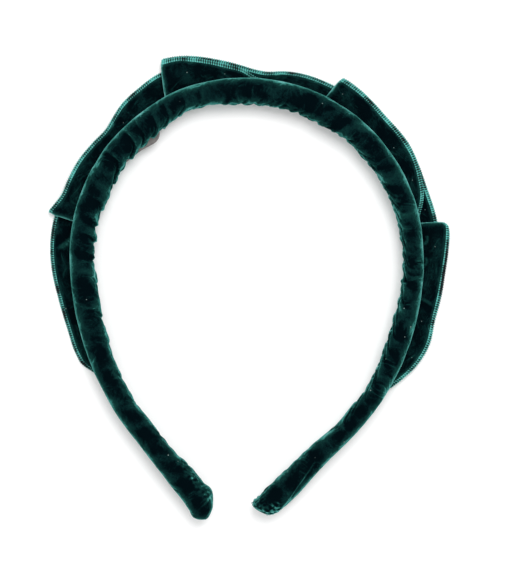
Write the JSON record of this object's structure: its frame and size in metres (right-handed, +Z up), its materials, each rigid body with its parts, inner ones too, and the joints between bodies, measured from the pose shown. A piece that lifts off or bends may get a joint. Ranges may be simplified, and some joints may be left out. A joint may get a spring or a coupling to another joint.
{
  "type": "headband",
  "caption": "Padded velvet hair band with a wide velvet ribbon folded and tacked on in loops round its crown.",
  "frame": {"origin": "on the surface that the band lies on, at the middle of its box seen from above", "axes": "+Y from the leg tips towards the crown, +X across the head, +Z up from the surface, across the band's width"},
  "size_m": [0.1428, 0.1665, 0.0133],
  "materials": {
    "cover_velvet": "deep teal velvet with a bright sheen at its edges",
    "ribbon_velvet": "deep teal velvet ribbon with ribbed woven edges",
    "padding": "white wadding",
    "spring_strip": "smooth dark plastic",
    "thread": "fine teal sewing thread",
    "tab_cloth": "plain grey woven tape"
  },
  "bodies": {
    "crown": {"strip_crown": "spring_strip", "padding_crown": "padding", "cover_crown": "cover_velvet", "ribbon_run_1": "ribbon_velvet", "ribbon_loop_2": "ribbon_velvet", "ribbon_run_2": "ribbon_velvet", "ribbon_loop_3": "ribbon_velvet", "tacks_crown": "thread", "inner_tab": "tab_cloth"},
    "left_arm": {"strip_left": "spring_strip", "padding_left": "padding", "cover_left": "cover_velvet", "ribbon_start": "ribbon_velvet", "ribbon_loop_1": "ribbon_velvet", "tacks_left": "thread"},
    "right_arm": {"strip_right": "spring_strip", "padding_right": "padding", "cover_right": "cover_velvet", "ribbon_loop_3_end": "ribbon_velvet", "ribbon_run_3": "ribbon_velvet", "ribbon_loop_4": "ribbon_velvet", "tacks_right": "thread"}
  },
  "joints": [
    {"name": "left_spread", "type": "hinge", "parent": "crown", "child": "left_arm", "pos_m": [-0.04709, 0.05629, 0.0083], "axis": [0, 0, -1], "range_deg": [0, 20], "stiffness_Nm_per_rad": 0.6},
    {"name": "right_spread", "type": "hinge", "parent": "crown", "child": "right_arm", "pos_m": [0.04469, 0.05629, 0.0083], "axis": [0, 0, 1], "range_deg": [0, 20], "stiffness_Nm_per_rad": 0.6}
  ]
}
